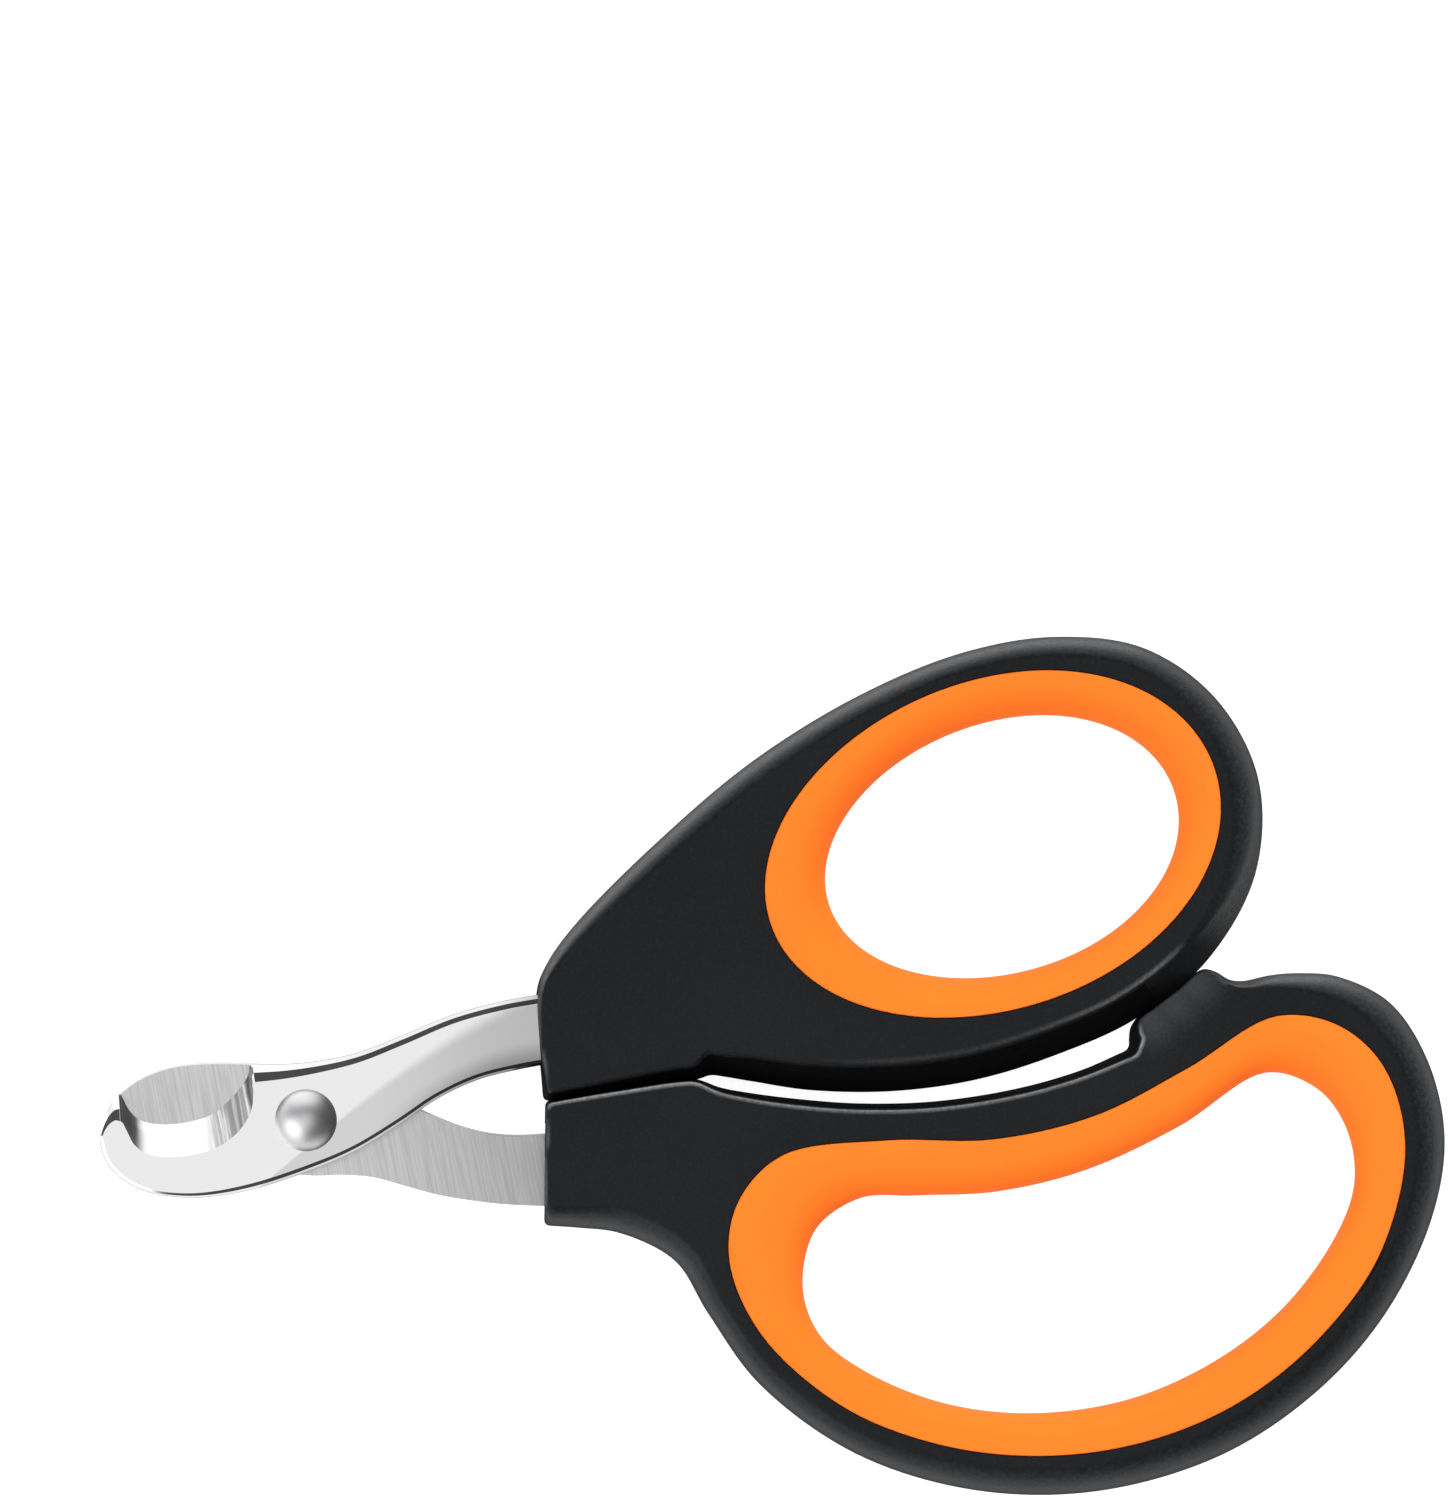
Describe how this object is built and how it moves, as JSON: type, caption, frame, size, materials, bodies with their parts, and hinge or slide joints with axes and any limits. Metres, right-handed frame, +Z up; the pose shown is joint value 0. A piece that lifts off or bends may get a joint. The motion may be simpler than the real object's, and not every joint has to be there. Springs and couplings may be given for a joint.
{
  "type": "pet nail trimmer",
  "caption": "Scissor-type pet nail trimmer: two curved steel blades with a rounded cutting notch, crossing on a screwed pivot, with a thumb loop and a finger loop lined in soft grip.",
  "frame": {"origin": "middle of the footprint, on the surface that the trimmer lies on", "axes": "+X from the jaws towards the handles, +Y towards the thumb loop, +Z up out of the face with the domed nut"},
  "size_m": [0.13, 0.083, 0.0096],
  "materials": {
    "polished_steel": "polished stainless steel",
    "brushed_steel": "stainless steel, finely brushed across the blade",
    "black_plastic": "matte, finely grained moulding",
    "orange_grip": "smooth satin soft grip"
  },
  "bodies": {
    "finger_side": {"finger_blade": "brushed_steel", "pivot_nut": "polished_steel", "pivot_screw": "polished_steel", "finger_handle_top": "black_plastic", "finger_handle_bottom": "black_plastic", "finger_grip_insert": "orange_grip"},
    "thumb_side": {"thumb_blade": "polished_steel", "thumb_handle_top": "black_plastic", "thumb_handle_bottom": "black_plastic", "thumb_grip_insert": "orange_grip"}
  },
  "joints": [
    {"name": "blade_pivot", "type": "hinge", "parent": "finger_side", "child": "thumb_side", "pos_m": [-0.0449, 0.00108, 0.0048], "axis": [0, 0, 1], "range_deg": [0, 45]}
  ]
}
